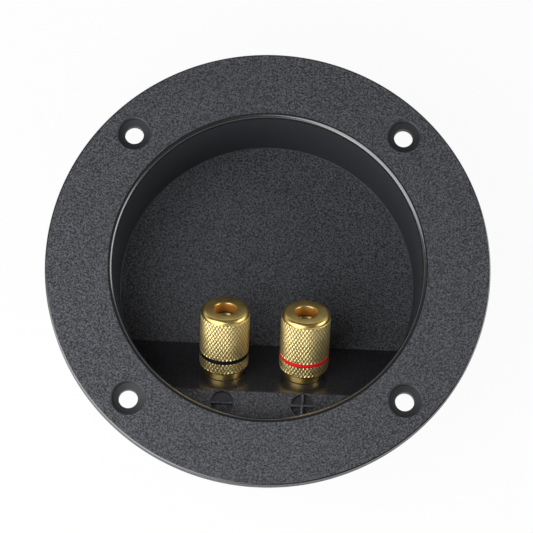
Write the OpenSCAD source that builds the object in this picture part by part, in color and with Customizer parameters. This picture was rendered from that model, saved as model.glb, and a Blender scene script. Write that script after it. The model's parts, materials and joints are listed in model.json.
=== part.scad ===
// Round recessed speaker terminal: a moulded cup for a cabinet panel, with two binding posts on a
// sloping ledge. The origin is the centre of the flange's rear face, which seats on the panel.
// +Z points out of the panel, towards the user, and +Y points up the panel, away from the ledge.

/* [Flange] */
// Outside diameter of the flange
flange_d = 105; // [100:0.5:120]
// Thickness of the flange
flange_t = 3; // [2.4:0.1:5]
// Radius of the rounded front rim
rim_r = 0.4; // [0.2:0.05:1.2]

/* [Screw holes] */
// Number of screw holes
screw_count = 4; // [3:1:8]
// Angle of the first screw hole from +X
screw_angle = 46.8; // [0:0.2:90]
// Distance of the screw holes outwards from the middle of the flange's overlap
screw_shift = -0.15; // [-0.3:0.05:0.2]
// Diameter of a screw hole
screw_hole_d = 4.5; // [3.5:0.1:5]
// Diameter of the recess for a screw head, at the front face
screw_head_d = 7.6; // [6:0.1:8.5]
// Depth of the straight recess for a screw's head
screw_head_step = 1.1; // [0.2:0.1:1.2]
// Depth of the shallow cone from that recess's floor down to the hole
screw_cone_h = 0.25; // [0.1:0.05:1.2]

/* [Recess] */
// Inside diameter of the recess below its lip
recess_d = 73; // [66:0.5:75]
// Depth of the back wall below the flange's front face
recess_depth = 21.4; // [20:0.1:28]
// Draft by which the side wall narrows towards the back
wall_draft = 2.2; // [0.5:0.1:3]
// Radius of the rounded lip of the recess
lip_r = 1.2; // [0.4:0.1:2]
// Thickness of the side wall
wall_t = 2.3; // [1.6:0.1:3]
// Thickness of the back wall
back_t = 2.5; // [1.8:0.1:4]

/* [Ledge] */
// Angle between the ledge and the back wall's plane
ledge_angle = 43; // [40:1:50]
// Distance of the ledge's foot below the flange's centre
ledge_drop = 14.4; // [10:0.2:15]
// Length of the ledge up its slope
ledge_len = 19.6; // [18.5:0.1:21]
// Thickness of the ledge
ledge_t = 2.8; // [2:0.1:3.6]
// Thickness of the flat strip in front of the ledge
strip_t = 2.5; // [1.8:0.1:3.5]

/* [Polarity marks] */
// Diameter of the sunk round field of a mark
mark_d = 5.3; // [4:0.1:5.6]
// Depth of that field
mark_depth = 0.9; // [0.2:0.05:1]
// Distance of a mark's centre from the ledge's front edge
mark_inset = 2.95; // [2.85:0.05:3.4]
// Width of the raised bars of a mark
bar_w = 0.65; // [0.4:0.05:1.2]

/* [Posts] */
// Distance between the axes of the two posts
post_pitch = 19; // [16:0.5:24]
// Distance of the post axes from the ledge's foot, up the slope
post_rise = 11.1; // [10:0.1:12]

/* [Stud] */
// Diameter of the collar
collar_d = 9.5; // [8.5:0.1:11]
// Height of the collar
collar_h = 2.5; // [1.5:0.1:4]
// Diameter of the thread that carries the cap
thread_d = 7; // [6.4:0.1:7.6]
// Diameter of the plug socket
socket_d = 4; // [3.5:0.1:4.2]
// Depth of the plug socket below the stud's top
socket_depth = 12.5; // [8:0.1:13]
// Diameter of the cross hole for bare wire
wire_hole_d = 2.5; // [1.5:0.1:3]
// Height of the cross hole's axis above the collar
wire_hole_up = 1.8; // [1.6:0.1:3]
// Diameter of the shank in the ledge
shank_d = 5.8; // [5:0.1:7]
// Distance across the two flats of the shank
shank_flats = 4.8; // [4.6:0.1:5]
// Diameter of the tail's thread
tail_d = 4; // [3:0.1:4.4]
// Length of the tail past its nut
tail_end = 1.5; // [0.5:0.1:2]
// Chamfer of the turned edges
turned_edge = 0.3; // [0.1:0.05:0.4]

/* [Cap] */
// Diameter of the cap over its knurl
cap_d = 11.8; // [11:0.1:13]
// Height of the cap
cap_h = 14.8; // [13.5:0.1:18]
// Thickness of the web at the cap's top
cap_web = 2.5; // [1.5:0.1:3]
// Diameter of the plug hole in that web
cap_hole_d = 5.2; // [4.6:0.1:6]
// Radius of the smooth round at the cap's top
cap_round = 1; // [0.5:0.1:2]
// Chamfer at the cap's bottom
cap_chamfer = 0.5; // [0.2:0.05:0.8]
// Radial depth of the counterbore in the cap's lower end, which leaves room for the wire
wire_room = 0.7; // [0.5:0.05:0.9]
// How far that counterbore reaches past the wire hole
wire_room_over = 0.5; // [0.2:0.05:1]
// Gap between the stud's top and the web when the cap is closed
cap_gap = 0.2; // [0.1:0.05:0.5]
// Gap between the closed cap and the collar
seat_gap = 0.05; // [0.02:0.01:0.2]

/* [Colour band] */
// Height of the band's middle above the cap's bottom
band_up = 3.35; // [2:0.05:6]
// Width of the band
band_w = 1; // [0.6:0.05:1.6]
// Thickness of the band
band_t = 0.5; // [0.3:0.05:0.8]
// Depth of the band's face below the knurl
band_inset = 0.05; // [0.02:0.01:0.2]

/* [Rear hardware] */
// Diameter of the flat washer
washer_d = 9; // [8:0.1:10]
// Thickness of the flat washer
washer_t = 0.8; // [0.5:0.1:1.2]
// Diameter of the solder lug's eye
lug_d = 8; // [7:0.1:9]
// Thickness of the solder lug
lug_t = 0.6; // [0.4:0.05:0.8]
// Width of the solder lug's tail
lug_w = 4; // [3.4:0.1:5]
// Length of the solder lug's bent tail up to its hole
lug_tail = 5.5; // [4:0.1:7]
// Diameter of the wire hole in the solder lug
lug_hole_d = 2; // [1.2:0.1:2.4]
// Angle by which the solder lug's tail is bent back
lug_bend = 25; // [10:1:40]
// Diameter of the split lock washer
lock_d = 7.2; // [6.4:0.1:8]
// Thickness of the split lock washer
lock_t = 0.9; // [0.6:0.1:1.2]
// Width of the split in the lock washer
lock_split = 0.7; // [0.4:0.1:1.2]
// Slant of that split
lock_slant = 25; // [10:1:35]
// Distance across the flats of the nut
nut_flats = 7; // [6:0.1:8]
// Height of the nut
nut_h = 3.2; // [2.4:0.1:3.6]

/* [Fits] */
// Radial clearance between a thread and its nut
thread_fit = 0.05; // [0.02:0.01:0.1]
// Clearance around the stud's shank in the ledge
shank_fit = 0.1; // [0.05:0.01:0.2]
// Radial clearance of washers and lug around the tail
washer_fit = 0.15; // [0.1:0.05:0.3]
// Clearance of the colour band in its groove
band_fit = 0.05; // [0.02:0.01:0.1]

/* [Hidden] */
$fn = 96;

// Sides of the two posts along X
negative = -1;
positive = 1;

// Cutters run this far past the faces they cut
past = 1;

// Levels of the cup's walls
back_z = flange_t - recess_depth;
rear_z = back_z - back_t;
ledge_y = -ledge_drop;
strip_y = ledge_y - ledge_len * cos(ledge_angle);
strip_z = back_z + ledge_len * sin(ledge_angle);
strip_rear_z = strip_z - strip_t;
// Level below which the recess's wall is drafted, and its diameter at the back wall
lip_z = flange_t - lip_r;
back_d = recess_d - 2 * (lip_z - back_z) * tan(wall_draft);
// The skirt outside follows the recess's wall
skirt_d = recess_d + 2 * wall_t;
rear_d = back_d + 2 * wall_t - 2 * back_t * tan(wall_draft);
// The flange's overlap is what stands out past the skirt, and the screws go through its middle
screw_pcd = (flange_d + skirt_d) / 2 + 2 * screw_shift;
// Height at which the ledge's rear face, ledge_t behind its front, crosses the level z
function ledge_rear_y(z) = ledge_y - ledge_t * sin(ledge_angle)
    - (z - back_z + ledge_t * cos(ledge_angle)) / tan(ledge_angle);

// Foot of a post's axis on the ledge
post_y = ledge_y - post_rise * cos(ledge_angle);
post_z = back_z + post_rise * sin(ledge_angle);

// Levels along a post's axis, from the ledge's face
cap_z = collar_h + seat_gap;
stud_top = cap_z + cap_h - cap_web - cap_gap;
socket_z = stud_top - socket_depth;
wire_hole_z = collar_h + wire_hole_up;
wire_room_h = wire_hole_z + wire_hole_d / 2 + wire_room_over - cap_z;
washer_z = -ledge_t - washer_t;
lug_z = washer_z - lug_t;
lock_z = lug_z - lock_t;
nut_z = lock_z - nut_h;
tail_z = nut_z - tail_end;
// The shank stops short of the ledge's rear face, so that the washer clamps the ledge
shank_z = -ledge_t + shank_fit;

band_r = cap_d / 2 - band_inset;
groove_r = band_r - band_t - band_fit;
lug_bend_r = lug_t;

plastic_black = "#2b2b2e";
gold = "#c9a94a";
tin = "#c4c4c0";
steel = "#9a9a98";
band_black = "#151515";
band_red = "#cf1f24";

// A body along X with the given outline in Y and Z
module along_x(outline) {
    rotate([90, 0, 90])
        linear_extrude(height = 2 * skirt_d, center = true)
            polygon(outline);
}

// Places its children on a post's axis, with local +Z out of the ledge
module at_post(side) {
    translate([side * post_pitch / 2, post_y, post_z])
        rotate([-ledge_angle, 0, 0])
            children();
}

// Round bar with two flats, as the stud's shank and its hole in the ledge
module flatted_bar(d, flats, h) {
    intersection() {
        cylinder(d = d, h = h);
        translate([-d, -flats / 2, 0])
            cube([2 * d, flats, h]);
    }
}

module flange_plate() {
    rotate_extrude()
        difference() {
            square([flange_d / 2, flange_t]);
            translate([flange_d / 2 - rim_r, flange_t - rim_r])
                difference() {
                    square(rim_r + past);
                    circle(rim_r);
                }
        }
}

module cup_outside() {
    intersection() {
        translate([0, 0, rear_z])
            cylinder(d1 = rear_d, d2 = skirt_d, h = lip_z - rear_z);
        along_x([
            [-skirt_d, strip_rear_z],
            [ledge_rear_y(strip_rear_z), strip_rear_z],
            [ledge_rear_y(rear_z), rear_z],
            [skirt_d, rear_z],
            [skirt_d, flange_t],
            [-skirt_d, flange_t]
        ]);
    }
}

module recess() {
    intersection() {
        union() {
            translate([0, 0, back_z])
                cylinder(d1 = back_d, d2 = recess_d, h = lip_z - back_z);
            translate([0, 0, lip_z])
                cylinder(d = recess_d, h = lip_r + past);
        }
        along_x([
            [-skirt_d, strip_z],
            [strip_y, strip_z],
            [ledge_y, back_z],
            [skirt_d, back_z],
            [skirt_d, flange_t + 2 * past],
            [-skirt_d, flange_t + 2 * past]
        ]);
    }
    // Rounded lip
    rotate_extrude()
        translate([recess_d / 2 + lip_r, flange_t - lip_r])
            difference() {
                translate([-lip_r - past, 0])
                    square([lip_r + past, lip_r + past]);
                circle(lip_r);
            }
}

module screw_holes() {
    step_z = flange_t - screw_head_step;
    for (i = [0:screw_count - 1])
        rotate(screw_angle + i * 360 / screw_count)
            translate([screw_pcd / 2, 0, 0]) {
                translate([0, 0, -past])
                    cylinder(d = screw_hole_d, h = flange_t + 2 * past);
                translate([0, 0, step_z - screw_cone_h])
                    cylinder(d1 = screw_hole_d, d2 = screw_head_d, h = screw_cone_h);
                translate([0, 0, step_z])
                    cylinder(d = screw_head_d, h = screw_head_step + past);
            }
}

// Sunk round field with raised bars: one for minus, two crossed ones for plus
module polarity_mark(side) {
    bar_angles = side == positive ? [0, 90] : [0];
    translate([side * post_pitch / 2, strip_y - mark_inset, strip_z - mark_depth])
        difference() {
            cylinder(d = mark_d, h = mark_depth + past);
            for (angle = bar_angles)
                rotate(angle)
                    translate([-mark_d, -bar_w / 2, -past])
                        cube([2 * mark_d, bar_w, mark_depth + past]);
        }
}

module cup() {
    color(plastic_black)
        difference() {
            union() {
                flange_plate();
                cup_outside();
            }
            recess();
            screw_holes();
            for (side = [negative, positive]) {
                polarity_mark(side);
                at_post(side)
                    translate([0, 0, -ledge_t - past])
                        flatted_bar(
                            shank_d + 2 * shank_fit, shank_flats + 2 * shank_fit, ledge_t + 2 * past);
            }
        }
}

module stud(side) {
    color(gold)
        at_post(side)
            difference() {
                union() {
                    rotate_extrude()
                        polygon([
                            [0, 0],
                            [collar_d / 2, 0],
                            [collar_d / 2, collar_h - turned_edge],
                            [collar_d / 2 - turned_edge, collar_h],
                            [thread_d / 2, collar_h],
                            [thread_d / 2, stud_top - turned_edge],
                            [thread_d / 2 - turned_edge, stud_top],
                            [0, stud_top]
                        ]);
                    translate([0, 0, shank_z])
                        flatted_bar(shank_d, shank_flats, -shank_z);
                    rotate_extrude()
                        polygon([
                            [0, tail_z],
                            [tail_d / 2 - turned_edge, tail_z],
                            [tail_d / 2, tail_z + turned_edge],
                            [tail_d / 2, shank_z],
                            [0, shank_z]
                        ]);
                }
                translate([0, 0, socket_z])
                    cylinder(d = socket_d, h = socket_depth + past);
                translate([0, 0, stud_top - turned_edge])
                    cylinder(d1 = socket_d, d2 = socket_d + 4 * turned_edge, h = 2 * turned_edge);
                translate([0, 0, wire_hole_z])
                    rotate([0, 90, 0])
                        cylinder(d = wire_hole_d, h = thread_d + 2 * past, center = true);
            }
}

module cap(side) {
    cap_r = cap_d / 2;
    bore_r = thread_d / 2 + thread_fit;
    hole_r = cap_hole_d / 2;
    groove_w = band_w + 2 * band_fit;
    color(gold)
        at_post(side)
            translate([0, 0, cap_z])
                rotate_extrude()
                    difference() {
                        square([cap_r, cap_h]);
                        // Rounded top edge
                        translate([cap_r - cap_round, cap_h - cap_round])
                            difference() {
                                square(cap_round + past);
                                circle(cap_round);
                            }
                        // Chamfered bottom edge
                        polygon([
                            [cap_r - cap_chamfer, 0],
                            [cap_r, cap_chamfer],
                            [cap_r + past, cap_chamfer],
                            [cap_r + past, -past],
                            [cap_r - cap_chamfer, -past]
                        ]);
                        // Groove for the colour band
                        translate([groove_r, band_up - groove_w / 2])
                            square([cap_r, groove_w]);
                        // Counterbore for the wire, threaded bore, and the plug hole with its bevelled mouth
                        translate([-past, -past])
                            square([bore_r + wire_room + past, wire_room_h + past]);
                        translate([-past, -past])
                            square([bore_r + past, cap_h - cap_web + past]);
                        translate([-past, 0])
                            square([hole_r + past, cap_h + past]);
                        polygon([
                            [0, cap_h - turned_edge],
                            [hole_r, cap_h - turned_edge],
                            [hole_r + 2 * turned_edge, cap_h + turned_edge],
                            [0, cap_h + turned_edge]
                        ]);
                    }
}

module band(side) {
    corner = band_inset;
    color(side == positive ? band_red : band_black)
        at_post(side)
            translate([0, 0, cap_z + band_up])
                rotate_extrude()
                    polygon([
                        [band_r - band_t, -band_w / 2],
                        [band_r - corner, -band_w / 2],
                        [band_r, corner - band_w / 2],
                        [band_r, band_w / 2 - corner],
                        [band_r - corner, band_w / 2],
                        [band_r - band_t, band_w / 2]
                    ]);
}

module washer(side) {
    color(gold)
        at_post(side)
            translate([0, 0, washer_z])
                difference() {
                    cylinder(d = washer_d, h = washer_t);
                    translate([0, 0, -past])
                        cylinder(d = tail_d + 2 * washer_fit, h = washer_t + 2 * past);
                }
}

// Sheet lug: a round eye, a bend and a round-ended tail that points away from the other post
module lug(side) {
    neck = lug_d / 2 + lug_t;
    color(tin)
        at_post(side)
            rotate(side == positive ? 0 : 180)
                translate([0, 0, lug_z]) {
                    difference() {
                        union() {
                            cylinder(d = lug_d, h = lug_t);
                            translate([0, -lug_w / 2, 0])
                                cube([neck, lug_w, lug_t]);
                        }
                        translate([0, 0, -past])
                            cylinder(d = tail_d + 2 * washer_fit, h = lug_t + 2 * past);
                    }
                    translate([neck, lug_w / 2, -lug_bend_r]) {
                        rotate([90, 0, 0])
                            rotate(90 - lug_bend)
                                rotate_extrude(angle = lug_bend)
                                    translate([lug_bend_r, 0])
                                        square([lug_t, lug_w]);
                        rotate([0, lug_bend, 0])
                            translate([0, -lug_w / 2, lug_bend_r])
                                difference() {
                                    union() {
                                        translate([0, -lug_w / 2, 0])
                                            cube([lug_tail, lug_w, lug_t]);
                                        translate([lug_tail, 0, 0])
                                            cylinder(d = lug_w, h = lug_t);
                                    }
                                    translate([lug_tail, 0, -past])
                                        cylinder(d = lug_hole_d, h = lug_t + 2 * past);
                                }
                    }
                }
}

module lock_washer(side) {
    color(steel)
        at_post(side)
            translate([0, 0, lock_z])
                difference() {
                    cylinder(d = lock_d, h = lock_t);
                    translate([0, 0, -past])
                        cylinder(d = tail_d + 2 * washer_fit, h = lock_t + 2 * past);
                    translate([0, -lock_d / 2, lock_t / 2])
                        rotate([0, lock_slant, 0])
                            cube([lock_split, lock_d, 4 * lock_t], center = true);
                }
}

module nut(side) {
    corner_r = nut_flats / 2 / cos(30);
    chamfer_h = (corner_r - nut_flats / 2) * tan(30);
    color(gold)
        at_post(side)
            translate([0, 0, nut_z])
                difference() {
                    intersection() {
                        cylinder(r = corner_r, h = nut_h, $fn = 6);
                        rotate_extrude()
                            polygon([
                                [0, 0],
                                [nut_flats / 2, 0],
                                [corner_r, chamfer_h],
                                [corner_r, nut_h - chamfer_h],
                                [nut_flats / 2, nut_h],
                                [0, nut_h]
                            ]);
                    }
                    translate([0, 0, -past])
                        cylinder(d = tail_d + 2 * thread_fit, h = nut_h + 2 * past);
                }
}

cup();
stud(negative);  // negative_stud
cap(negative);  // negative_cap
band(negative);  // negative_band
washer(negative);  // negative_washer
lug(negative);  // negative_lug
lock_washer(negative);  // negative_lock_washer
nut(negative);  // negative_nut
stud(positive);  // positive_stud
cap(positive);  // positive_cap
band(positive);  // positive_band
washer(positive);  // positive_washer
lug(positive);  // positive_lug
lock_washer(positive);  // positive_lock_washer
nut(positive);  // positive_nut
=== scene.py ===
import json
from math import acos, asin, cos, degrees, pi, radians, sin, sqrt, tan

import bpy
from mathutils import Matrix, Vector


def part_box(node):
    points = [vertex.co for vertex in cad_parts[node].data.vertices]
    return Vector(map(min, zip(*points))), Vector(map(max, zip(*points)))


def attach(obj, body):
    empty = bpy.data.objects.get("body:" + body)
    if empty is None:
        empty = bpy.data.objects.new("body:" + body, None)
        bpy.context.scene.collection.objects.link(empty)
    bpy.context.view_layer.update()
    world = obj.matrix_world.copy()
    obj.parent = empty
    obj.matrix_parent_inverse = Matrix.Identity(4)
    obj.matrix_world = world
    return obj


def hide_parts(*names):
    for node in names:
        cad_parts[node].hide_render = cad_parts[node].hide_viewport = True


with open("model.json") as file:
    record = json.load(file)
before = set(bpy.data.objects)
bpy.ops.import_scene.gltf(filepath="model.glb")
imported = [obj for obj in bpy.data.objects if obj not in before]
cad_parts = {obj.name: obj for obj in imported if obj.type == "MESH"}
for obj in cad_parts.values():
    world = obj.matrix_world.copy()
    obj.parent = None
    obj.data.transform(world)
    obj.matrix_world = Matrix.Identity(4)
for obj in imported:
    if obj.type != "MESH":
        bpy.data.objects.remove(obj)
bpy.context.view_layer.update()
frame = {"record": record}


# Cup: one black ABS moulding that drops into a round cut-out in the cabinet's panel. The flange's
# face, the back wall and the strip carry a fine spark-eroded grain, the side wall is satin, and the
# lip and the ledge are polished in the mould. The sizes of all pieces are in millimetres.
MM = 0.001
flange_r = 52.5
flange_t = 3.0
rim_r = 0.4
recess_r = 36.5
lip_r = 1.2
lip_z = flange_t - lip_r
back_z = -18.4
wall_draft = radians(2.2)
wall_t = 2.3
back_fillet = 0.25
rear_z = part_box("cup")[0].z / MM
ledge_slope = 43
ledge_angle = radians(ledge_slope)
ledge_y = -14.4
ledge_len = 19.6
ledge_t = 2.8
ledge_edge = 0.3
strip_y = ledge_y - ledge_len * cos(ledge_angle)
strip_z = back_z + ledge_len * sin(ledge_angle)
strip_t = 2.5
lathe_steps = 256
weld = 0.0005


def deselect():
    bpy.ops.object.select_all(action="DESELECT")


def arc(x, z, r, start, end, steps):
    """Points on an arc round a centre, between two angles in degrees."""
    turn = [radians(start + (end - start) * i / steps) for i in range(steps + 1)]
    return [(x + r * cos(a), z + r * sin(a)) for a in turn]


def draw(name, points):
    """Draws a line through points in millimetres: one vertex, then an extrusion for each next point."""
    deselect()
    bpy.ops.mesh.primitive_plane_add(size=MM)
    obj = bpy.context.object
    obj.name = obj.data.name = name
    bpy.ops.object.mode_set(mode="EDIT")
    bpy.ops.mesh.select_mode(type="VERT")
    bpy.ops.mesh.select_all(action="SELECT")
    bpy.ops.mesh.merge(type="CENTER")
    bpy.ops.transform.translate(value=Vector(points[0]) * MM)
    for a, b in zip(points, points[1:]):
        step = (Vector(b) - Vector(a)) * MM
        bpy.ops.mesh.extrude_vertices_move(TRANSFORM_OT_translate={"value": step})
    bpy.ops.mesh.select_all(action="SELECT")
    return obj


def close_up():
    """Merges what lies on one spot and turns every face outwards."""
    bpy.ops.mesh.select_all(action="SELECT")
    bpy.ops.mesh.remove_doubles(threshold=weld * MM)
    bpy.ops.mesh.normals_make_consistent(inside=False)
    bpy.ops.object.mode_set(mode="OBJECT")


def turned(name, outline, steps):
    """A turned body: the half section, as radius and height, is spun round the Z axis."""
    obj = draw(name, [(r, 0, z) for r, z in outline])
    bpy.ops.mesh.spin(steps=steps, angle=2 * pi, center=(0, 0, 0), axis=(0, 0, 1))
    close_up()
    return obj


def bar_along_x(name, outline, length):
    """A straight bar along X with an outline in Y and Z, centred on x = 0."""
    obj = draw(name, [(-length / 2, y, z) for y, z in outline])
    bpy.ops.mesh.edge_face_add()
    bpy.ops.mesh.extrude_region_move(TRANSFORM_OT_translate={"value": (length * MM, 0, 0)})
    close_up()
    return obj


def combine(body, operation, *tools):
    """Joins the tools to a body, cuts them out of it or keeps only what they share, and removes them."""
    for tool in tools:
        deselect()
        body.select_set(True)
        bpy.context.view_layer.objects.active = body
        bpy.ops.object.modifier_add(type="BOOLEAN")
        step = body.modifiers[-1]
        step.operation = operation
        step.solver = "MANIFOLD"
        step.object = tool
        bpy.ops.object.modifier_apply(modifier=step.name)
        bpy.data.objects.remove(tool)


def move_to(obj, place, turn=(0, 0, 0)):
    """Turns and places an object, and puts that into its mesh."""
    deselect()
    obj.select_set(True)
    bpy.context.view_layer.objects.active = obj
    obj.rotation_euler = turn
    obj.location = Vector(place) * MM
    bpy.ops.object.transform_apply(location=True, rotation=True, scale=True)


def wall_r(z):
    """The recess's radius at a height: it narrows with the draft, so that the mould comes out."""
    return recess_r - max(0, lip_z - z) * tan(wall_draft)


def skirt_r(z):
    """The outer radius behind the flange."""
    return wall_r(z) + wall_t


# The half section runs from the back's middle over the lip and the flange, and round to the rear.
# Beside each rounding a ring lies close, which keeps the shading of the flats even.
near = 0.12
back_ring = 6.0
rear_edge = 0.2
fillet_z = back_z + back_fillet
fillet_x = wall_r(fillet_z) - back_fillet
shoulder = 0.4
rear_round = 0.5
cup_outline = [(0, back_z), (fillet_x - back_ring, back_z), (fillet_x - near, back_z)]
cup_outline += arc(fillet_x, fillet_z, back_fillet, -90, 0, 5)
cup_outline += [(wall_r(fillet_z + near), fillet_z + near), (wall_r(lip_z - near), lip_z - near)]
cup_outline += arc(recess_r + lip_r, lip_z, lip_r, 180, 90, 10)
cup_outline += [(recess_r + lip_r + near, flange_t), (flange_r - rim_r - near, flange_t)]
cup_outline += arc(flange_r - rim_r, flange_t - rim_r, rim_r, 90, 0, 6)
cup_outline += [(flange_r, flange_t - rim_r - near), (flange_r, rear_edge), (flange_r - rear_edge, 0)]
cup_outline += [(skirt_r(0) + shoulder + near, 0)]
cup_outline += arc(skirt_r(-shoulder) + shoulder, -shoulder, shoulder, 90, 180, 4)
cup_outline += [(skirt_r(rear_z + rear_round + near), rear_z + rear_round + near)]
cup_outline += arc(skirt_r(rear_z + rear_round) - rear_round, rear_z + rear_round, rear_round, 0, -90, 5)
cup_outline += [(skirt_r(rear_z) - rear_round - near, rear_z), (0, rear_z)]
cup = turned("terminal_cup", cup_outline, lathe_steps)

# The ledge and its strip fill the lower part of the recess. Their block ends inside the side wall
# and inside the back. Tools that cut reach past what they cut.
past = 2.0
slope_y, slope_z = cos(ledge_angle), sin(ledge_angle)
foot = 1.2
edge_run = ledge_edge * tan(ledge_angle / 2)
edge_y = strip_y - edge_run
edge_arc = arc(edge_y, strip_z - ledge_edge, ledge_edge, 90 - ledge_slope, 90, 4)
reach = recess_r + wall_t
ledge_block = bar_along_x("ledge_block", [
    (ledge_y + foot * slope_y, back_z - foot * slope_z), *edge_arc,
    (-reach, strip_z), (-reach, back_z - foot * slope_z),
], 2 * reach)
core_deep = 1.5
core_low, core_high = back_z - core_deep, strip_z + past
core_in = wall_t / 2
combine(ledge_block, "INTERSECT", turned("recess_core", [
    (0, core_low), (wall_r(core_low) + core_in, core_low),
    (wall_r(core_high) + core_in, core_high), (0, core_high),
], lathe_steps))
combine(cup, "UNION", ledge_block)

# Behind the ledge the moulding is cored out, so that the walls stay even and the nuts have room.
strip_rear_z = strip_z - strip_t


def ledge_rear_y(z):
    """Where the ledge's rear face lies at a height."""
    return ledge_y - ledge_t * slope_z - (z - back_z + ledge_t * slope_y) / tan(ledge_angle)


combine(cup, "DIFFERENCE", bar_along_x("ledge_rear", [
    (-reach - past, strip_rear_z), (ledge_rear_y(strip_rear_z), strip_rear_z),
    (ledge_rear_y(rear_z - past), rear_z - past), (-reach - past, rear_z - past),
], 2 * reach + 2 * past))

# Four screw holes, each with a recess for the screw's head. The recess's floor falls slightly
# to the hole.
hole_steps = 64
screw_hole_r = 2.25
screw_head_r = 3.8
screw_head_deep = 1.1
screw_floor_fall = 0.25
screw_step_z = flange_t - screw_head_deep
screw_cone_z = screw_step_z - screw_floor_fall
screw_lead = 0.3
screw_turn = 46.8
screw_pcr = frame["record"]["mounts"][0]["dims"]["pcd_mm"] / 2
for i in range(4):
    hole = turned("screw_hole", [
        (0, -past), (screw_hole_r, -past), (screw_hole_r, screw_cone_z), (screw_head_r, screw_step_z),
        (screw_head_r, flange_t - screw_lead), (screw_head_r + screw_lead, flange_t),
        (screw_head_r + screw_lead + past, flange_t + past), (0, flange_t + past),
    ], hole_steps)
    a = radians(screw_turn + 90 * i)
    move_to(hole, (screw_pcr * cos(a), screw_pcr * sin(a), 0))
    combine(cup, "DIFFERENCE", hole)

# Polarity marks: a sunk satin field with raised bars, minus beside one post and plus beside the other.
joints = frame["record"]["behaviour"]["joints"]
turn_joint = {j["name"].split("_")[0]: j for j in joints if j["type"] == "hinge"}
sides = {"negative": -1, "positive": 1}
mark_r = 2.65
mark_depth = 0.9
mark_floor_z = strip_z - mark_depth
mark_lead = 0.1
mark_in = 2.95
mark_y = strip_y - mark_in
bar_w = 0.65
bar_half = bar_w / 2
bar_round = 0.12
bar_sunk = 0.04
bar_top = strip_z - bar_sunk
bar_root = 0.4
bar_ends = 0.3
for side, way in sides.items():
    mark_x = turn_joint[side]["pos_m"][0] / MM
    field = turned("mark_field", [
        (0, mark_floor_z), (mark_r - mark_lead, mark_floor_z), (mark_r, mark_floor_z + mark_lead),
        (mark_r, strip_z - mark_lead), (mark_r + mark_lead, strip_z),
        (mark_r + mark_lead + past, strip_z + past), (0, strip_z + past),
    ], hole_steps)
    move_to(field, (mark_x, mark_y, 0))
    combine(cup, "DIFFERENCE", field)
    for turn in ([0, 90] if way > 0 else [0]):
        bar = bar_along_x("mark_bar", [
            (bar_half, mark_floor_z - bar_root),
            *arc(bar_half - bar_round, bar_top - bar_round, bar_round, 0, 90, 3),
            *arc(bar_round - bar_half, bar_top - bar_round, bar_round, 90, 180, 3),
            (-bar_half, mark_floor_z - bar_root),
        ], 2 * mark_r + bar_ends)
        move_to(bar, (mark_x, mark_y, 0), (0, 0, radians(turn)))
        combine(cup, "UNION", bar)

# Flatted holes for the studs' shanks, square to the ledge.
post_axis = Vector(turn_joint["negative"]["axis"])
post_tilt = acos(post_axis.z)
collar_h = 2.5
seat_gap = 0.05
cap_z = collar_h + seat_gap
shank_r = 2.9
shank_flat = 2.4
shank_fit = 0.1


def on_post(obj, side, z=0.0, turn=0.0):
    """Puts a piece modelled upright at the origin on a post's axis, z above the ledge's face."""
    place = Vector(turn_joint[side]["pos_m"]) / MM + post_axis * (z - cap_z)
    move_to(obj, (0, 0, 0), (0, 0, turn))
    move_to(obj, place, (-post_tilt, 0, 0))


def flatted_bar(name, r, flat, low, high):
    """A round bar with two flats across Y."""
    deselect()
    bpy.ops.mesh.primitive_cylinder_add(vertices=hole_steps, radius=r * MM, depth=(high - low) * MM,
                                        location=(0, 0, (low + high) / 2 * MM))
    obj = bpy.context.object
    obj.name = obj.data.name = name
    bpy.ops.object.transform_apply(location=True)
    bpy.ops.object.mode_set(mode="EDIT")
    for way in (-1, 1):
        bpy.ops.mesh.select_all(action="SELECT")
        bpy.ops.mesh.bisect(plane_co=(0, way * flat * MM, 0), plane_no=(0, way, 0),
                            use_fill=True, clear_outer=True)
    close_up()
    return obj


for side in sides:
    shank_hole = flatted_bar("shank_hole", shank_r + shank_fit, shank_flat + shank_fit,
                             -ledge_t - past, past)
    on_post(shank_hole, side)
    combine(cup, "DIFFERENCE", shank_hole)


stray_gap = 0.0003
sliver = 0.0001


def finish_mesh(obj, angle=30):
    """Clears the stray doubles and the empty material slot that cutting leaves, and shades smooth up
    to an angle."""
    obj.data.materials.clear()
    deselect()
    obj.select_set(True)
    bpy.context.view_layer.objects.active = obj
    bpy.ops.object.mode_set(mode="EDIT")
    bpy.ops.mesh.select_all(action="SELECT")
    bpy.ops.mesh.remove_doubles(threshold=stray_gap * MM)
    bpy.ops.mesh.dissolve_degenerate(threshold=sliver * MM)
    bpy.ops.mesh.normals_make_consistent(inside=False)
    bpy.ops.object.mode_set(mode="OBJECT")
    bpy.ops.object.shade_smooth_by_angle(angle=radians(angle))


finish_mesh(cup)


def linear(hex_colour):
    """An sRGB hex colour as linear RGBA."""
    parts = [int(hex_colour[i:i + 2], 16) / 255 for i in (1, 3, 5)]
    return [p / 12.92 if p <= 0.04045 else ((p + 0.055) / 1.055) ** 2.4 for p in parts] + [1]


def add_node(material, kind, sockets=None, **settings):
    """Adds a node with its settings, and sets or links its sockets."""
    tree = material.node_tree
    made = tree.nodes.new(kind)
    for name, value in settings.items():
        setattr(made, name, value)
    for name, value in (sockets or {}).items():
        if isinstance(value, bpy.types.NodeSocket):
            tree.links.new(value, made.inputs[name])
        else:
            made.inputs[name].default_value = value
    return made


def new_material(name):
    """A material with only an output node."""
    material = bpy.data.materials.new(name)
    material.use_nodes = True
    for old in list(material.node_tree.nodes):
        if old.type != "OUTPUT_MATERIAL":
            material.node_tree.nodes.remove(old)
    return material


def surface(material, shader):
    """Links a shader to a material's output."""
    output = material.node_tree.nodes["Material Output"]
    material.node_tree.links.new(shader.outputs[0], output.inputs["Surface"])


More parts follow.
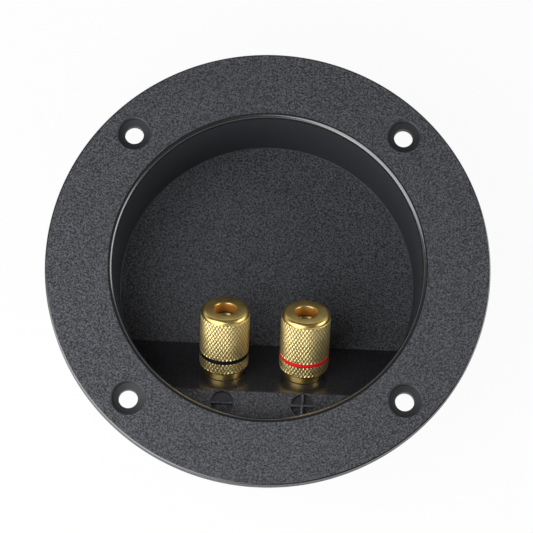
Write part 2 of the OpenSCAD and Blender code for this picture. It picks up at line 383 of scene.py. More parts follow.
# Grained black ABS: the mould is spark-eroded, which leaves a matt skin of rounded pits about
# 0.4 mm apart. The bump shapes the pits, and their light is painted into the colour: the noise's
# high points are painted light grey and its low points near black, painted glints and painted shade
# that make the black look dusted grey. The noise is turned, so that no flat face lies along its grid.
grained_abs = new_material("abs_black_spark_grain")
coords = add_node(grained_abs, "ShaderNodeTexCoord")
pit_mm = 0.43
off_grid = add_node(grained_abs, "ShaderNodeMapping", {
    "Vector": coords.outputs["Object"], "Rotation": (radians(35), radians(25), radians(15)),
})
pits = add_node(grained_abs, "ShaderNodeTexNoise", {
    "Vector": off_grid.outputs["Vector"], "Scale": 1 / (pit_mm * MM), "Detail": 3.0, "Roughness": 0.65,
})
grain = add_node(grained_abs, "ShaderNodeBump", {
    "Height": pits.outputs["Fac"], "Strength": 1.0, "Distance": 0.3 * MM,
})
# Painted glints and painted shade: the colour follows the same noise as the bump's height.
painted_grain_glints = add_node(grained_abs, "ShaderNodeValToRGB", {"Fac": pits.outputs["Fac"]})
painted_grain_glints.color_ramp.elements[0].position = 0.4
painted_grain_glints.color_ramp.elements[0].color = linear("#111317")
painted_grain_glints.color_ramp.elements[1].position = 0.63
painted_grain_glints.color_ramp.elements[1].color = linear("#5b5d64")
surface(grained_abs, add_node(grained_abs, "ShaderNodeBsdfPrincipled", {
    "Base Color": painted_grain_glints.outputs["Color"], "Roughness": 0.55, "IOR": 1.52,
    "Normal": grain.outputs["Normal"],
}))

# Polished black ABS: the same plastic on the lip and the rim, where the mould's steel is polished. It
# is a deep black with a hard shine, a little blurred by fine waviness from the moulding. The coat is
# the wider and softer part of that shine. Noise lies mostly between noise_low and noise_high.
polished_abs = new_material("abs_black_polished")
noise_low, noise_high = 0.3, 0.7
coords = add_node(polished_abs, "ShaderNodeTexCoord")
wave_mm = 6.0
waves = add_node(polished_abs, "ShaderNodeTexNoise", {
    "Vector": coords.outputs["Object"], "Scale": 1 / (wave_mm * MM), "Detail": 1.0,
})
gloss = add_node(polished_abs, "ShaderNodeMapRange", {
    "Value": waves.outputs["Fac"], "From Min": noise_low, "From Max": noise_high,
    "To Min": 0.17, "To Max": 0.23,
})
waviness = add_node(polished_abs, "ShaderNodeBump", {
    "Height": waves.outputs["Fac"], "Strength": 0.15, "Distance": 0.02 * MM,
})
surface(polished_abs, add_node(polished_abs, "ShaderNodeBsdfPrincipled", {
    "Base Color": linear("#19191c"), "Roughness": gloss.outputs["Result"], "IOR": 1.8, "Coat Weight": 0.5,
    "Coat Roughness": 0.25, "Coat IOR": 1.8, "Normal": waviness.outputs["Normal"],
}))

# Dulled black ABS: on the ledge the polish is worn by plugs and fingers, so that it mirrors the
# posts softly.
dulled_abs = new_material("abs_black_dulled")
coords = add_node(dulled_abs, "ShaderNodeTexCoord")
rub_mm = 1.0
rubs = add_node(dulled_abs, "ShaderNodeTexNoise", {
    "Vector": coords.outputs["Object"], "Scale": 1 / (rub_mm * MM), "Detail": 3.0,
})
rubbed = add_node(dulled_abs, "ShaderNodeMapRange", {
    "Value": rubs.outputs["Fac"], "From Min": noise_low, "From Max": noise_high,
    "To Min": 0.2, "To Max": 0.29,
})
surface(dulled_abs, add_node(dulled_abs, "ShaderNodeBsdfPrincipled", {
    "Base Color": linear("#29292c"), "Roughness": rubbed.outputs["Result"], "IOR": 1.75,
}))

# Satin black ABS: the mould's turned steel, which forms the side wall, the screw recesses and the
# sunk polarity fields, is left as machined.
satin_abs = new_material("abs_black_satin")
coords = add_node(satin_abs, "ShaderNodeTexCoord")
tool_mm = 0.3
tooling = add_node(satin_abs, "ShaderNodeTexNoise", {
    "Vector": coords.outputs["Object"], "Scale": 1 / (tool_mm * MM), "Detail": 2.0,
})
tool_marks = add_node(satin_abs, "ShaderNodeBump", {
    "Height": tooling.outputs["Fac"], "Strength": 0.4, "Distance": 0.05 * MM,
})
surface(satin_abs, add_node(satin_abs, "ShaderNodeBsdfPrincipled", {
    "Base Color": linear("#2a2c30"), "Roughness": 0.5, "IOR": 1.52,
    "Normal": tool_marks.outputs["Normal"],
}))

lip_edge = recess_r + lip_r
screw_land = 0.5
rim_land = 2.0
skirt_in = 0.5
wall_skin = 0.05
touch = 0.001
slack = 0.01


def cup_finish(face):
    """The finish that a face of the cup has, from its place and from where it points."""
    x, y, z = face.center / MM
    r = sqrt(x * x + y * y)
    up = face.normal.z
    flat = up > 0.9999
    on_flange = flat and z > flange_t - touch and r > lip_edge - touch
    on_bar = flat and abs(z - bar_top) < touch
    in_screw = lip_edge + screw_land < r < flange_r - rim_land and z > -touch and not on_flange
    on_wall = abs(r - wall_r(z)) < back_fillet + wall_skin and back_z + touch < z < lip_z
    # The strip's grain runs on over the lower half of each polarity field.
    in_upper_mark = mark_floor_z - slack < z < strip_z - touch and mark_y - bar_w < y < mark_y + mark_r
    if in_screw or on_wall or in_upper_mark and not on_bar:
        return satin_abs
    if face.normal.dot(post_axis) > 0.999:
        return dulled_abs
    on_back = flat and abs(z - back_z) < touch
    on_strip = flat and mark_floor_z - touch < z < strip_z + touch
    on_skirt = r > wall_r(z) + skirt_in and z < flange_t - rim_r and up < 0.1
    faces_down = up < -0.1
    if on_flange or on_bar or on_back or on_strip or on_skirt or faces_down:
        return grained_abs
    return polished_abs


plastics = (grained_abs, polished_abs, satin_abs, dulled_abs)
for plastic in plastics:
    cup.data.materials.append(plastic)
for face in cup.data.polygons:
    face.material_index = plastics.index(cup_finish(face))
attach(cup, "terminal")
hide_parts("cup")


# Studs: turned from brass bar and gold plated, with a collar that seats on the ledge, a thread for
# the cap, a bore for a plug, a cross hole for bare wire, and a threaded tail behind the ledge. The cap
# reaches cap_low below its CAD solid's lower end, and the collar is as much lower than its solid.
collar_r = 4.75
collar_round = 0.3
collar_flat = 0.1
collar_edge = 0.15
cap_low = -0.4
collar_top = collar_h + cap_low
cap_h = 14.8
cap_web = 2.5
stud_gap = 0.2
stud_top = cap_z + cap_h - cap_web - stud_gap
thread_r = 3.5
thread_root = 2.9
thread_pitch = 1.0
thread_lead = 0.35
thread_edge = 0.05
thread_short = 0.04
thread_over = 0.5
thread_steps = 48
ridge_base, ridge_crest = 0.46, 0.07
ridge_sunk = 0.12
trim_past = 0.2
socket_r = 2.0
socket_deep = 12.5
socket_z = stud_top - socket_deep
socket_lead = 0.35
drill_point = 0.8
tail_r = 2.0
tail_root = 1.58
tail_pitch = 0.7
tail_lead = 0.3
tail_edge = 0.1
shank_z = -ledge_t + shank_fit
tail_z = -9.8
wire_r = 1.25
wire_up = 1.8
wire_z = collar_h + wire_up
drill_len = 12.0
drill_steps = 48
stud_steps = 96
sleeve_wall = 1.0
flats_r = 6.5


def screw_thread(name, root, crest, pitch, low, high, lead):
    """A helical ridge, made too long and trimmed to two heights. A lead chamfers its upper end, or its
    lower end if it is below zero."""
    base, flat = ridge_base * pitch, ridge_crest * pitch
    sunk = root - ridge_sunk
    start = low - pitch
    obj = draw(name, [(sunk, 0, start - base), (crest, 0, start - flat), (crest, 0, start + flat),
                      (sunk, 0, start + base), (sunk, 0, start - base)])
    bpy.ops.mesh.remove_doubles(threshold=weld * MM)
    bpy.ops.object.mode_set(mode="OBJECT")
    bpy.ops.object.modifier_add(type="SCREW")
    helix = obj.modifiers[-1]
    helix.screw_offset = pitch * MM
    helix.iterations = int((high - low) / pitch) + 3
    helix.steps = helix.render_steps = thread_steps
    helix.use_merge_vertices = False
    bpy.ops.object.modifier_apply(modifier=helix.name)
    bpy.ops.object.mode_set(mode="EDIT")
    bpy.ops.mesh.select_all(action="SELECT")
    bpy.ops.mesh.select_non_manifold()
    bpy.ops.mesh.fill_holes(sides=0)
    close_up()
    out = crest + trim_past
    if lead > 0:
        trim = [(0, low), (out, low), (out, high - lead), (crest - lead, high), (0, high)]
    else:
        trim = [(0, low), (crest + lead, low), (out, low - lead), (out, high), (0, high)]
    combine(obj, "INTERSECT", turned("thread_trim", trim, hole_steps))
    return obj


def make_stud():
    """A stud, upright, with the ledge's face at z = 0."""
    outline = [(0, socket_z - drill_point), (socket_r, socket_z), (socket_r, stud_top - socket_lead)]
    outline += [(socket_r + socket_lead, stud_top), (thread_root - thread_edge, stud_top)]
    outline += [(thread_root, stud_top - thread_edge), (thread_root, collar_top)]
    outline += [(collar_r - collar_round - collar_flat, collar_top)]
    outline += arc(collar_r - collar_round, collar_top - collar_round, collar_round, 90, 0, 4)
    outline += [(collar_r, collar_edge), (collar_r - collar_edge, 0), (shank_r, 0), (shank_r, shank_z)]
    outline += [(tail_root, shank_z), (tail_root, tail_z + tail_edge), (tail_root - tail_edge, tail_z)]
    outline += [(0, tail_z)]
    stud = turned("stud", outline, stud_steps)
    combine(stud, "UNION", screw_thread(
        "cap_thread", thread_root, thread_r, thread_pitch,
        collar_top - thread_over, stud_top - thread_short, thread_lead,
    ))
    combine(stud, "UNION", screw_thread(
        "tail_thread", tail_root, tail_r, tail_pitch,
        tail_z + thread_short, shank_z + thread_over, -tail_lead,
    ))
    # A sleeve with two flats inside takes the shank's round sides off.
    sleeve_r = shank_r + sleeve_wall
    sleeve = turned("sleeve", [(0, shank_z), (sleeve_r, shank_z), (sleeve_r, 0), (0, 0)], hole_steps)
    combine(sleeve, "DIFFERENCE", flatted_bar("flats", flats_r, shank_flat, shank_z - past, past))
    combine(stud, "DIFFERENCE", sleeve)
    deselect()
    bpy.ops.mesh.primitive_cylinder_add(vertices=drill_steps, radius=wire_r * MM, depth=drill_len * MM,
                                        rotation=(0, radians(90), 0), location=(0, 0, wire_z * MM))
    combine(stud, "DIFFERENCE", bpy.context.object)
    finish_mesh(stud, 35)
    return stud


def copy_of(obj, name):
    """A copy with a mesh of its own."""
    deselect()
    obj.select_set(True)
    bpy.context.view_layer.objects.active = obj
    bpy.ops.object.duplicate()
    made = bpy.context.object
    made.name = made.data.name = name
    return made


# Gold plate: a thin pale gold over bright nickel on turned brass. It is a warm mirror, softened by
# fine turning marks, and its tone drifts slightly with the plating's thickness. A knurl carries the
# attributes "crest" and "valley": the knurl is painted a paler gold that rises towards its crests, a
# painted highlight for the glints of its small flats, and the bottoms of its grooves are painted a
# darker gold, painted shade where little light reaches.
gold_plate = new_material("gold_plate_on_brass")
coords = add_node(gold_plate, "ShaderNodeTexCoord")
drift_mm = 2.5
drift = add_node(gold_plate, "ShaderNodeTexNoise", {
    "Vector": coords.outputs["Object"], "Scale": 1 / (drift_mm * MM), "Detail": 3.0,
})
gold_tone = add_node(gold_plate, "ShaderNodeValToRGB", {"Fac": drift.outputs["Fac"]})
gold_tone.color_ramp.elements[0].position = 0.3
gold_tone.color_ramp.elements[0].color = linear("#dcbd6e")
gold_tone.color_ramp.elements[1].position = 0.7
gold_tone.color_ramp.elements[1].color = linear("#e8cd84")
satin = add_node(gold_plate, "ShaderNodeMapRange", {
    "Value": drift.outputs["Fac"], "From Min": noise_low, "From Max": noise_high,
    "To Min": 0.27, "To Max": 0.36,
})
crest = add_node(gold_plate, "ShaderNodeAttribute", attribute_name="crest")
# Painted highlight: the knurl is mixed towards a pale gold by its crest weight.
painted_knurl_highlight = add_node(gold_plate, "ShaderNodeMix", {
    0: crest.outputs["Fac"], 6: gold_tone.outputs["Color"], 7: linear("#f2e0a6"),
}, data_type="RGBA")
valley = add_node(gold_plate, "ShaderNodeAttribute", attribute_name="valley")
deepest = add_node(gold_plate, "ShaderNodeMath", {0: valley.outputs["Fac"], 1: 3.0}, operation="POWER")
# Painted shade: the bottoms of the grooves are mixed towards a dark gold.
painted_groove_shade = add_node(gold_plate, "ShaderNodeMix", {
    0: deepest.outputs[0], 6: painted_knurl_highlight.outputs[2], 7: linear("#a8935a"),
}, data_type="RGBA")
rolled = add_node(gold_plate, "ShaderNodeMath", {
    0: crest.outputs["Fac"], 1: 0.16, 2: satin.outputs["Result"],
}, operation="MULTIPLY_ADD")
surface(gold_plate, add_node(gold_plate, "ShaderNodeBsdfPrincipled", {
    "Base Color": painted_groove_shade.outputs[2], "Metallic": 1.0, "Roughness": rolled.outputs[0],
}))


# Gold plate in a drilled hole: it covers the drill's rough wall. Its colour is painted a deep orange,
# painted light that stands in for the light bouncing from wall to wall.
gold_with_painted_bounce = new_material("gold_plate_in_hole_with_painted_bounce")
coords = add_node(gold_with_painted_bounce, "ShaderNodeTexCoord")
feed_mm = 0.5
feed = add_node(gold_with_painted_bounce, "ShaderNodeTexNoise", {
    "Vector": coords.outputs["Object"], "Scale": 1 / (feed_mm * MM), "Detail": 2.0,
})
feed_rough = add_node(gold_with_painted_bounce, "ShaderNodeMapRange", {
    "Value": feed.outputs["Fac"], "From Min": noise_low, "From Max": noise_high,
    "To Min": 0.5, "To Max": 0.62,
})
surface(gold_with_painted_bounce, add_node(gold_with_painted_bounce, "ShaderNodeBsdfPrincipled", {
    "Base Color": linear("#eab55e"), "Metallic": 1.0, "Roughness": feed_rough.outputs["Result"],
}))


def dress(piece, node, body, material):
    """Gives a piece its material, if it has none yet, and its body, and hides its CAD node."""
    if not piece.data.materials:
        piece.data.materials.append(material)
    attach(piece, body)
    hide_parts(node)


def fit_pair(model, kind, body, material, z=0.0, turned_round=False):
    """Copies a model to both posts, and removes it."""
    for side, way in sides.items():
        piece = copy_of(model, f"{side}_{kind}_piece")
        on_post(piece, side, z, pi if turned_round and way < 0 else 0)
        dress(piece, f"{side}_{kind}", body.format(side=side), material[side])
    bpy.data.objects.remove(model)


gold = {side: gold_plate for side in sides}
fit_pair(make_stud(), "stud", "terminal", gold)


# Flat washers: gold-plated brass, blanked from sheet, so that one edge is rounded and the other has
# a small burr edge. They spread the nut's pull over the plastic ledge.
washer_t = 0.8
washer_r = 4.5
washer_round = 0.2
washer_steps = 96
tail_hole = 2.15
burr = 0.08


def make_ring(name, outer, thick, edge, steps):
    """A flat ring for a stud's tail, with its upper outer edge rounded."""
    outline = [(tail_hole + burr, 0), (outer - burr, 0), (outer, burr)]
    outline += arc(outer - edge, thick - edge, edge, 0, 90, 4)
    outline += [(tail_hole + burr, thick), (tail_hole, thick - burr)]
    outline += [(tail_hole, burr), (tail_hole + burr, 0)]
    return turned(name, outline, steps)


washer = make_ring("washer", washer_r, washer_t, washer_round, washer_steps)
finish_mesh(washer)
washer_z = -ledge_t - washer_t
fit_pair(washer, "washer", "terminal", gold, washer_z)


# Solder lugs: tinned brass sheet, stamped to an eye with a tail, and bent back so that a wire can
# be hooked through the hole at the tail's end and soldered.
lug_t = 0.6
lug_r = 4.0
lug_half = 2.0
lug_tail = 5.5
lug_hole_r = 1.0
lug_edge = 0.07
lug_bend = radians(25)
lug_neck = lug_r + lug_t
lug_neck_turn = degrees(asin(lug_half / lug_r))
bend_r = 1.5 * lug_t
bend_len = bend_r * lug_bend
bend_steps = 6
punch_len = 4.0


def select_where(obj, kind, test):
    """In edit mode, selects the vertices, edges or faces that pass a test."""
    bpy.ops.mesh.select_mode(type=kind)
    bpy.ops.mesh.select_all(action="DESELECT")
    bpy.ops.object.mode_set(mode="OBJECT")
    for part in {"VERT": obj.data.vertices, "EDGE": obj.data.edges, "FACE": obj.data.polygons}[kind]:
        part.select = test(part)
    bpy.ops.object.mode_set(mode="EDIT")


def make_lug():
    """A lug, with its eye flat on z = 0 and its tail bent back."""
    end = lug_neck + bend_len + lug_tail
    outline = [(x, y, 0) for x, y in arc(0, 0, lug_r, lug_neck_turn, 360 - lug_neck_turn, 60)]
    outline += [(lug_neck, -lug_half, 0), (lug_neck + bend_len, -lug_half, 0)]
    outline += [(x, y, 0) for x, y in arc(end, 0, lug_half, -90, 90, 24)]
    outline += [(lug_neck + bend_len, lug_half, 0), (lug_neck, lug_half, 0)]
    lug = draw("lug", outline)
    bpy.ops.mesh.edge_face_add()
    bpy.ops.mesh.extrude_region_move(TRANSFORM_OT_translate={"value": (0, 0, lug_t * MM)})
    close_up()
    for x, r in ((0, tail_hole), (end, lug_hole_r)):
        deselect()
        bpy.ops.mesh.primitive_cylinder_add(vertices=drill_steps, radius=r * MM, depth=punch_len * MM,
                                            location=(x * MM, 0, 0))
        combine(lug, "DIFFERENCE", bpy.context.object)
    bpy.ops.object.modifier_add(type="BEVEL")
    soft = lug.modifiers[-1]
    soft.width = lug_edge * MM
    soft.segments = 2
    soft.limit_method = "ANGLE"
    soft.angle_limit = radians(50)
    bpy.ops.object.modifier_apply(modifier=soft.name)
    # The tail is bent in small steps from its end inwards, each a cut across the sheet and a turn of
    # all beyond it.
    bpy.ops.object.mode_set(mode="EDIT")
    for i in range(bend_steps, -1, -1):
        cut_x = lug_neck + bend_len * i / bend_steps
        bpy.ops.mesh.select_all(action="SELECT")
        bpy.ops.mesh.bisect(plane_co=(cut_x * MM, 0, 0), plane_no=(1, 0, 0))
        select_where(lug, "VERT", lambda v: v.co.x > (cut_x + touch) * MM)
        bpy.ops.transform.rotate(value=-lug_bend / (bend_steps + 1), orient_axis="Y",
                                 center_override=(cut_x * MM, 0, lug_t / 2 * MM))
    bpy.ops.object.mode_set(mode="OBJECT")
    return lug


lug = make_lug()
finish_mesh(lug, 40)

# Tinned brass: dull silvery tin over stamped sheet, with soft streaks where the tin flowed.
tinned_brass = new_material("tin_on_brass_sheet")
coords = add_node(tinned_brass, "ShaderNodeTexCoord")
flow_mm = 1.2
flow = add_node(tinned_brass, "ShaderNodeTexNoise", {
    "Vector": coords.outputs["Object"], "Scale": 1 / (flow_mm * MM), "Detail": 4.0, "Distortion": 0.6,
})
tin_rough = add_node(tinned_brass, "ShaderNodeMapRange", {
    "Value": flow.outputs["Fac"], "From Min": noise_low, "From Max": noise_high,
    "To Min": 0.25, "To Max": 0.42,
})
tin_flow = add_node(tinned_brass, "ShaderNodeBump", {
    "Height": flow.outputs["Fac"], "Strength": 0.2, "Distance": 0.05 * MM,
})
surface(tinned_brass, add_node(tinned_brass, "ShaderNodeBsdfPrincipled", {
    "Base Color": linear("#cfcfca"), "Metallic": 1.0, "Roughness": tin_rough.outputs["Result"],
    "Normal": tin_flow.outputs["Normal"],
}))
lug_z = washer_z - lug_t
tin = {side: tinned_brass for side in sides}
fit_pair(lug, "lug", "terminal", tin, lug_z, turned_round=True)


# Split lock washers: square spring-steel wire, coiled to one turn, cut on the slant and zinc plated.
# Under the nut they are pressed flat.
lock_t = 0.9
lock_r = 3.6
lock_round = 0.1
lock_steps = 72
lock_split = 0.7
lock_slant = radians(25)
slit_in, slit_out = -1.0, -lock_r - 1
slit_past = 1.5
lock = make_ring("lock_washer", lock_r, lock_t, lock_round, lock_steps)
slit = bar_along_x("lock_slit", [
    (slit_out, -slit_past), (slit_in, -slit_past),
    (slit_in, lock_t + slit_past), (slit_out, lock_t + slit_past),
], lock_split)
move_to(slit, (0, 0, -lock_t / 2))
move_to(slit, (0, 0, lock_t / 2), (0, lock_slant, 0))
combine(lock, "DIFFERENCE", slit)
finish_mesh(lock)

# Zinc-plated steel: a cool grey plating with a fine crystal haze.
zinc_steel = new_material("zinc_on_spring_steel")
coords = add_node(zinc_steel, "ShaderNodeTexCoord")
crystal_mm = 0.4
haze = add_node(zinc_steel, "ShaderNodeTexNoise", {
    "Vector": coords.outputs["Object"], "Scale": 1 / (crystal_mm * MM), "Detail": 2.0,
})
zinc_tone = add_node(zinc_steel, "ShaderNodeValToRGB", {"Fac": haze.outputs["Fac"]})
zinc_tone.color_ramp.elements[0].color = linear("#85878a")
zinc_tone.color_ramp.elements[1].color = linear("#b4b5b6")
surface(zinc_steel, add_node(zinc_steel, "ShaderNodeBsdfPrincipled", {
    "Base Color": zinc_tone.outputs["Color"], "Metallic": 1.0, "Roughness": 0.38,
}))
lock_z = lug_z - lock_t
zinc = {side: zinc_steel for side in sides}
fit_pair(lock, "lock_washer", "terminal", zinc, lock_z)


# Nuts: hexagon brass bar, drilled, tapped, chamfered on both faces and gold plated. Each one clamps
# its stud, washers and lug to the ledge.
nut_half = 3.5
nut_corner = radians(30)
nut_r = nut_half / cos(nut_corner)
nut_h = 3.2
nut_edge = 0.1
nut_face_r = 3.45
nut_slope = tan(radians(30))
nut_fit = 0.05
nut_bore = tail_r + nut_fit
nut_lead = 0.3
nut_skin = 0.002
nut_past = 0.5
nut_out = nut_r + nut_past
nut_steps = 96
deselect()
bpy.ops.mesh.primitive_cylinder_add(vertices=6, radius=nut_r * MM, depth=nut_h * MM,
                                    location=(0, 0, nut_h / 2 * MM), rotation=(0, 0, nut_corner))
nut = bpy.context.object
nut.name = nut.data.name = "nut"
bpy.ops.object.transform_apply(location=True, rotation=True)
bpy.ops.object.modifier_add(type="BEVEL")
soft = nut.modifiers[-1]
soft.width = nut_edge * MM
soft.segments = 2
bpy.ops.object.modifier_apply(modifier=soft.name)
nut_fall = (nut_out - nut_face_r) * nut_slope
combine(nut, "INTERSECT", turned("nut_turning", [
    (nut_bore + nut_lead, -nut_skin), (nut_face_r, -nut_skin), (nut_out, nut_fall),
    (nut_out, nut_h - nut_fall), (nut_face_r, nut_h + nut_skin), (nut_bore + nut_lead, nut_h + nut_skin),
    (nut_bore, nut_h - nut_lead), (nut_bore, nut_lead), (nut_bore + nut_lead, -nut_skin),
], nut_steps))
finish_mesh(nut)
nut_z = lock_z - nut_h
fit_pair(nut, "nut", "terminal", gold, nut_z)


# Colour bands: thin moulded rings that snap into a groove near the bottom of each cap, black for
# the negative post and red for the positive one.
band_up = 3.2
band_w = 1.0
band_r = 5.85
band_t = 0.5
band_round = 0.16
band_half = band_w / 2
band_steps = 128
band = turned("band", [
    (band_r - band_t, -band_half),
    *arc(band_r - band_round, band_round - band_half, band_round, -90, 0, 3),
    *arc(band_r - band_round, band_half - band_round, band_round, 0, 90, 3),
    (band_r - band_t, band_half), (band_r - band_t, -band_half),
], band_steps)
finish_mesh(band, 35)

# Band plastic: coloured through and nearly matt, with a faint uneven gloss from handling.
band_colours = {"negative": ("black", "#030303"), "positive": ("red", "#d4161c")}
handling_mm = 1.5
band_plastic = {}
for side, (colour, tone) in band_colours.items():
    plastic = new_material(f"moulded_ring_{colour}")
    coords = add_node(plastic, "ShaderNodeTexCoord")
    handling = add_node(plastic, "ShaderNodeTexNoise", {
        "Vector": coords.outputs["Object"], "Scale": 1 / (handling_mm * MM), "Detail": 2.0,
    })
    ring_gloss = add_node(plastic, "ShaderNodeMapRange", {
        "Value": handling.outputs["Fac"], "From Min": noise_low, "From Max": noise_high,
        "To Min": 0.6, "To Max": 0.7,
    })
    surface(plastic, add_node(plastic, "ShaderNodeBsdfPrincipled", {
        "Base Color": linear(tone), "Roughness": ring_gloss.outputs["Result"], "IOR": 1.3,
    }))
    band_plastic[side] = plastic
fit_pair(band, "band", "{side}_band", band_plastic, cap_z + band_up)


# Caps: turned brass sleeves that screw down on the studs. A diamond knurl is rolled into the side for
# the fingers, the top edge is turned round and smooth, and the web has a hole for the plug.
knurl_count = 40
knurl_root = 5.71
knurl_high = 0.14
knurl_row = 1.46
knurl_rows = 14
knurl_flank = 0.23
cap_out = 5.95
cap_r = 5.68
cap_foot_r = 5.58
cap_foot_round = 0.1
cap_foot = 0.4
cap_bore = 3.55
wire_room_wide = 0.7
wire_room_clear = 0.5
wire_room_r = cap_bore + wire_room_wide
wire_room_h = wire_z + wire_r + wire_room_clear - cap_z
wire_room_edge = 0.15
roof_r, roof_h = wire_room_r - 0.3, 0.4
cap_hole = 2.6
cap_round = 0.95
cap_land = 0.25
cap_lead = 0.3
cap_top_ring = 0.1
groove_r = 5.3
groove_fit = 0.05
groove_half = band_half + groove_fit
groove_lead = 0.12
groove_step = 0.05
cap_steps = 128


def make_cap():
    """A cap, upright, with its CAD solid's lower end at z = 0."""
    # A tube of rectangles is the start of a knurled bar, which is longer than the cap at both ends.
    deselect()
    low = -2 * knurl_row
    bpy.ops.mesh.primitive_circle_add(vertices=knurl_count, radius=knurl_root * MM,
                                      location=(0, 0, low * MM))
    cap = bpy.context.object
    cap.name = cap.data.name = "cap"
    bpy.ops.object.transform_apply(location=True)
    bpy.ops.object.mode_set(mode="EDIT")
    bpy.ops.mesh.select_all(action="SELECT")
    for i in range(knurl_rows):
        bpy.ops.mesh.extrude_edges_move(TRANSFORM_OT_translate={"value": (0, 0, knurl_row * MM)})
    close_up()
    corners = len(cap.data.vertices)
    ends = [low * MM, (low + knurl_rows * knurl_row) * MM]

    def on_end(edge):
        heights = [cap.data.vertices[i].co.z for i in edge.vertices]
        return any(all(abs(z - end) < touch * MM for z in heights) for end in ends)

    # Each rectangle is poked, and its old edges dissolved, which leaves a net of diamonds.
    bpy.ops.object.mode_set(mode="EDIT")
    bpy.ops.mesh.select_all(action="SELECT")
    bpy.ops.mesh.poke()
    select_where(cap, "VERT", lambda v: v.index >= corners)
    grow = 1 / cos(pi / knurl_count)
    bpy.ops.transform.resize(value=(grow, grow, 1), center_override=(0, 0, 0))
    select_where(cap, "EDGE", lambda e: max(e.vertices) < corners and not on_end(e))
    bpy.ops.mesh.dissolve_edges(use_verts=False)
    # Every whole diamond is inset and raised, which makes it a pyramid with a small land on top.
    bpy.ops.mesh.select_mode(type="FACE")
    bpy.ops.mesh.select_all(action="DESELECT")
    bpy.ops.mesh.select_face_by_sides(number=4)
    bpy.ops.mesh.inset(use_individual=True, thickness=knurl_flank * MM, depth=knurl_high * MM)
    bpy.ops.mesh.select_mode(type="EDGE")
    bpy.ops.mesh.select_all(action="DESELECT")
    bpy.ops.mesh.select_non_manifold()
    bpy.ops.mesh.fill_holes(sides=0)
    close_up()
    # The knurled bar is then turned to the cap's outline: lead, groove for the band, round top, bore
    # and web. cap_out lies clear of the knurl's crests, so that the knurl stays whole.
    run_out = cap_out - cap_r
    round_z = cap_h - cap_round
    groove_in = cap_out - groove_lead - groove_step
    outline = [(wire_room_r + wire_room_edge, cap_low), (cap_foot_r, cap_low)]
    outline += arc(cap_foot_r, cap_low + cap_foot_round, cap_foot_round, -90, 0, 3)
    outline += [(cap_r, cap_low + cap_foot), (cap_out, cap_low + cap_foot + run_out)]
    outline += [(cap_out, band_up - groove_half - groove_lead), (groove_in, band_up - groove_half)]
    outline += [(groove_r, band_up - groove_half), (groove_r, band_up + groove_half)]
    outline += [(groove_in, band_up + groove_half), (cap_out, band_up + groove_half + groove_lead)]
    outline += [(cap_out, round_z - cap_land - run_out), (cap_r, round_z - cap_land)]
    outline += arc(cap_r - cap_round, round_z, cap_round, 0, 90, 8)
    outline += [(cap_hole + cap_lead + cap_top_ring, cap_h)]
    outline += arc(cap_hole + cap_lead, cap_h - cap_lead, cap_lead, 90, 180, 4)
    outline += [(cap_hole, cap_h - cap_web), (cap_bore, cap_h - cap_web), (cap_bore, wire_room_h + roof_h)]
    outline += [(roof_r, wire_room_h), (wire_room_r, wire_room_h), (wire_room_r, cap_low + wire_room_edge)]
    outline += [(wire_room_r + wire_room_edge, cap_low)]
    combine(cap, "INTERSECT", turned("cap_turning", outline, cap_steps))
    finish_mesh(cap, 32)
    # On the knurl, the attributes of its plate follow how far a point lies below the crests. They place
    # the plate's painted highlight and painted shade.
    knurl_end = 0.05
    knurl_from, knurl_to = cap_low + cap_foot + knurl_end, round_z - cap_land - knurl_end
    marks = {name: cap.data.attributes.new(name, "FLOAT", "POINT").data for name in ("valley", "crest")}
    for v in cap.data.vertices:
        x, y, z = v.co / MM
        r = sqrt(x * x + y * y)
        if knurl_from < z < knurl_to and r > knurl_root - knurl_high / 10:
            depth = max(0, min(1, (knurl_root + knurl_high - r) / knurl_high))
            marks["valley"][v.index].value = depth
            marks["crest"][v.index].value = 1 - depth / 2
    cap.data.materials.append(gold_plate)
    cap.data.materials.append(gold_with_painted_bounce)
    # Faces inside the hole get the gold with the painted orange bounce light.
    for face in cap.data.polygons:
        x, y, z = face.center / MM
        in_hole = sqrt(x * x + y * y) < cap_hole + slack and z < cap_h - cap_lead
        face.material_index = 1 if in_hole else 0
    return cap


fit_pair(make_cap(), "cap", "{side}_cap", gold, cap_z)


# Floor: a sheet of white paper that the part lies on. The camera, and mirror-like metal, see it as
# the photo's white ground, with only a trace of the part's shadow. The floor, the lights and the
# camera are placed in metres.
paper_size = 3.0
glow_share = 0.94
paper = new_material("white_paper_ground")
paths = add_node(paper, "ShaderNodeLightPath")
seen = add_node(paper, "ShaderNodeMath", {
    0: paths.outputs["Is Camera Ray"], 1: paths.outputs["Is Glossy Ray"],
}, operation="MAXIMUM")
seen_too = add_node(paper, "ShaderNodeMath", {
    0: seen.outputs[0], 1: paths.outputs["Is Transmission Ray"],
}, operation="MAXIMUM")
glow_part = add_node(paper, "ShaderNodeMath", {0: seen_too.outputs[0], 1: glow_share}, operation="MULTIPLY")
matt = add_node(paper, "ShaderNodeBsdfDiffuse", {"Color": linear("#f4f4f2")})
glow = add_node(paper, "ShaderNodeEmission", {"Color": linear("#ffffff"), "Strength": 1.0})
surface(paper, add_node(paper, "ShaderNodeMixShader", {
    0: glow_part.outputs[0], 1: matt.outputs[0], 2: glow.outputs[0],
}))
deselect()
bpy.ops.mesh.primitive_plane_add(size=paper_size)
floor = bpy.context.object
floor.name = floor.data.name = "paper_ground"
move_to(floor, (0, 0, rear_z))
floor.data.materials.append(paper)


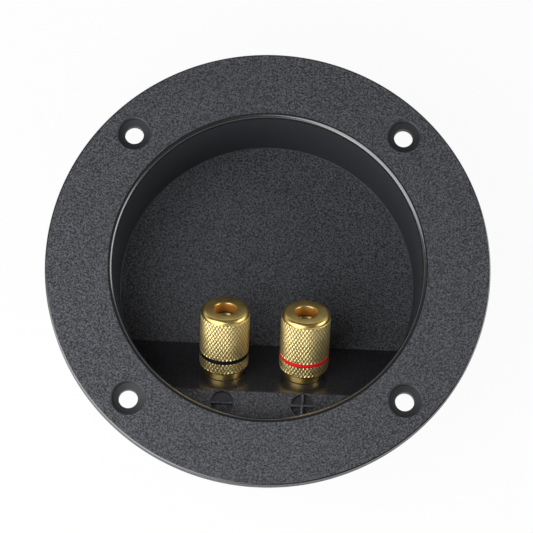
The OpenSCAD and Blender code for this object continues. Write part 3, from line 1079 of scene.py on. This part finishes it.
# Studio: a room that is white round the horizon, as the ground is, and dim overhead, with the main
# soft box high on the left and weaker ones on the right and low in front. The camera sees white
# all round.
world = bpy.data.worlds.new("studio")
bpy.context.scene.world = world
world.use_nodes = True
world.node_tree.nodes.clear()
ceiling = 0.07
direction = add_node(world, "ShaderNodeTexCoord")
height = add_node(world, "ShaderNodeSeparateXYZ", {"Vector": direction.outputs["Generated"]})
room = add_node(world, "ShaderNodeMapRange", {
    "Value": height.outputs["Z"], "From Min": 0.05, "From Max": 0.4, "To Min": 1.0, "To Max": ceiling,
}, interpolation_type="SMOOTHSTEP")
paths = add_node(world, "ShaderNodeLightPath")
seen = add_node(world, "ShaderNodeMath", {
    0: paths.outputs["Is Camera Ray"], 1: paths.outputs["Is Transmission Ray"],
}, operation="MAXIMUM")
level = add_node(world, "ShaderNodeMath", {
    0: room.outputs["Result"], 1: seen.outputs[0],
}, operation="MAXIMUM")
backdrop = add_node(world, "ShaderNodeBackground", {
    "Color": linear("#ffffff"), "Strength": level.outputs[0],
})
add_node(world, "ShaderNodeOutputWorld", {"Surface": backdrop.outputs[0]})


def soft_box(name, towards, distance, width, height, watts):
    """A soft box that faces the part from a direction."""
    deselect()
    place = Vector(towards).normalized() * distance
    bpy.ops.object.light_add(type="AREA", location=place)
    lamp = bpy.context.object
    lamp.name = lamp.data.name = name
    lamp.rotation_euler = place.to_track_quat("Z", "Y").to_euler()
    lamp.data.shape = "RECTANGLE"
    lamp.data.size = width
    lamp.data.size_y = height
    lamp.data.energy = watts


soft_box("soft_box_left", (-0.64, -0.45, 0.62), distance=0.26, width=0.3, height=0.36, watts=1.1)
soft_box("soft_box_right", (0.87, 0.12, 0.4), distance=0.4, width=0.27, height=0.2, watts=0.62)
soft_box("soft_box_front", (-0.45, -0.84, 0.3), distance=0.4, width=0.3, height=0.2, watts=0.18)


# Camera: a long lens, 60 cm from the flange, 75 degrees above the floor and turned a little. Its
# focal length and its shift are in the photo's pixels.
camera_data = bpy.data.cameras.new("photo_camera")
camera = bpy.data.objects.new("photo_camera", camera_data)
bpy.context.scene.collection.objects.link(camera)
photo_px = 533
focal_px = 2549.4
shift_px = (-1.36, -1.4)
camera_data.sensor_width = 36.0
camera_data.lens = focal_px / photo_px * camera_data.sensor_width
camera_data.shift_x, camera_data.shift_y = (shift / photo_px for shift in shift_px)
camera_data.dof.use_dof = False
lean = radians(15)
roll = radians(2.4)
distance = 0.6
target = Vector((0, 0, flange_t * MM))
place = target + Vector((0, -sin(lean), cos(lean))) * distance
camera.matrix_world = (Matrix.Translation(place) @ Matrix.Rotation(lean, 4, "X")
                       @ Matrix.Rotation(roll, 4, "Z"))
camera_data.clip_start = 0.01
bpy.context.scene.camera = camera
bpy.context.scene.view_settings.view_transform = "Standard"
